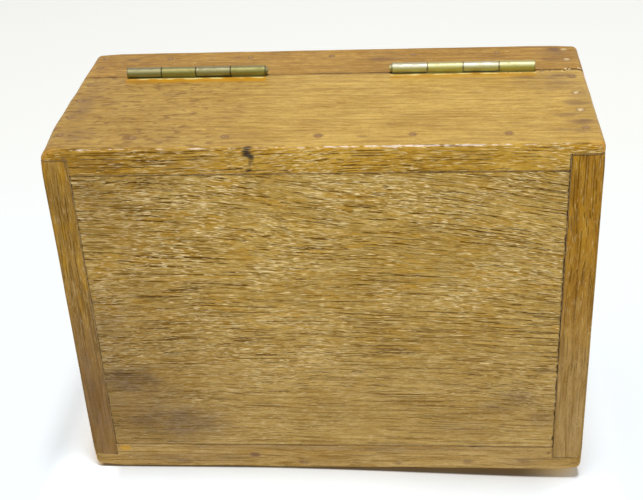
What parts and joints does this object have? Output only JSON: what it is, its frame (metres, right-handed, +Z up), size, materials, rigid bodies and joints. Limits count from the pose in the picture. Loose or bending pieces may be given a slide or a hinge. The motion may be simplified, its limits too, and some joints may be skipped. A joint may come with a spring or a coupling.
{
  "type": "hinged box",
  "caption": "Small oblong oak box with rebated nailed corners, a flush bottom panel and a shallow hinged lid on two brass butt hinges at the back.",
  "frame": {"origin": "middle of the box's rectangular base, on the surface that the box stands on", "axes": "+X to the right as seen from the front, +Y to the hinged back, +Z up to the lid"},
  "size_m": [0.228, 0.1714, 0.106],
  "materials": {
    "oak_frame": "worn waxed oak, satin, dark in the joints",
    "oak_panel": "rough weathered oak with open pores",
    "brass_sheet": "tarnished, rubbed bright on the knuckles",
    "brass_pin": "tarnished",
    "brass_screw": "tarnished",
    "iron_nail": "dark rust"
  },
  "bodies": {
    "carcass": {"back_board": "oak_frame", "front_board": "oak_frame", "left_end_board": "oak_frame", "right_end_board": "oak_frame", "bottom_panel": "oak_panel", "left_hinge_body_leaf": "brass_sheet", "right_hinge_body_leaf": "brass_sheet", "left_hinge_pin": "brass_pin", "right_hinge_pin": "brass_pin", "left_hinge_body_screws": "brass_screw", "right_hinge_body_screws": "brass_screw", "front_left_nails": "iron_nail", "front_right_nails": "iron_nail", "back_left_nails": "iron_nail", "back_right_nails": "iron_nail", "bottom_front_nails": "iron_nail", "bottom_back_nails": "iron_nail"},
    "lid": {"lid_back_rail": "oak_frame", "lid_front_rail": "oak_frame", "lid_left_rail": "oak_frame", "lid_right_rail": "oak_frame", "lid_top_panel": "oak_panel", "left_hinge_lid_leaf": "brass_sheet", "right_hinge_lid_leaf": "brass_sheet", "left_hinge_lid_screws": "brass_screw", "right_hinge_lid_screws": "brass_screw", "lid_front_left_nails": "iron_nail", "lid_front_right_nails": "iron_nail", "lid_back_left_nails": "iron_nail", "lid_back_right_nails": "iron_nail", "lid_top_front_nails": "iron_nail", "lid_top_back_nails": "iron_nail"}
  },
  "joints": [
    {"name": "lid_hinge", "type": "hinge", "parent": "carcass", "child": "lid", "pos_m": [0, 0.0857, 0.07555], "axis": [-1, 0, 0], "range_deg": [0, 186]}
  ]
}
